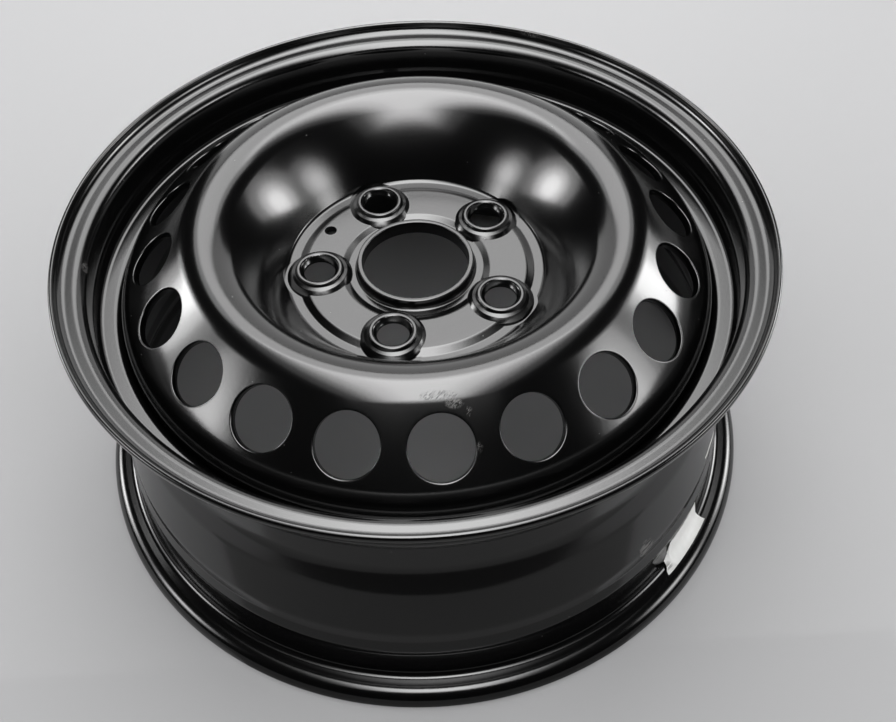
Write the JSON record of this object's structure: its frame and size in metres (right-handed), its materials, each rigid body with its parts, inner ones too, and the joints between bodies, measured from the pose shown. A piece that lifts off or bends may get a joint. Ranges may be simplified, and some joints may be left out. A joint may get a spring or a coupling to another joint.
{
  "type": "steel wheel",
  "caption": "Black pressed-steel road wheel: a rolled rim with a drop well, welded to a domed disc with round vents, bolt bosses and a collared centre bore.",
  "frame": {"origin": "on the wheel's axis, at the floor under the inboard lip", "axes": "+Z along the wheel's axis towards the outboard face, -Y towards the viewer of the picture, +X to the viewer's right"},
  "size_m": [0.4712, 0.471, 0.2116],
  "materials": {
    "rim_paint": "satin black",
    "disc_paint": "satin black",
    "weld_paint": "satin black over rough weld",
    "label_paper": "matt white paper"
  },
  "bodies": {
    "root": {"rim": "rim_paint", "disc": "disc_paint", "weld_beads": "weld_paint", "label": "label_paper"}
  },
  "joints": []
}
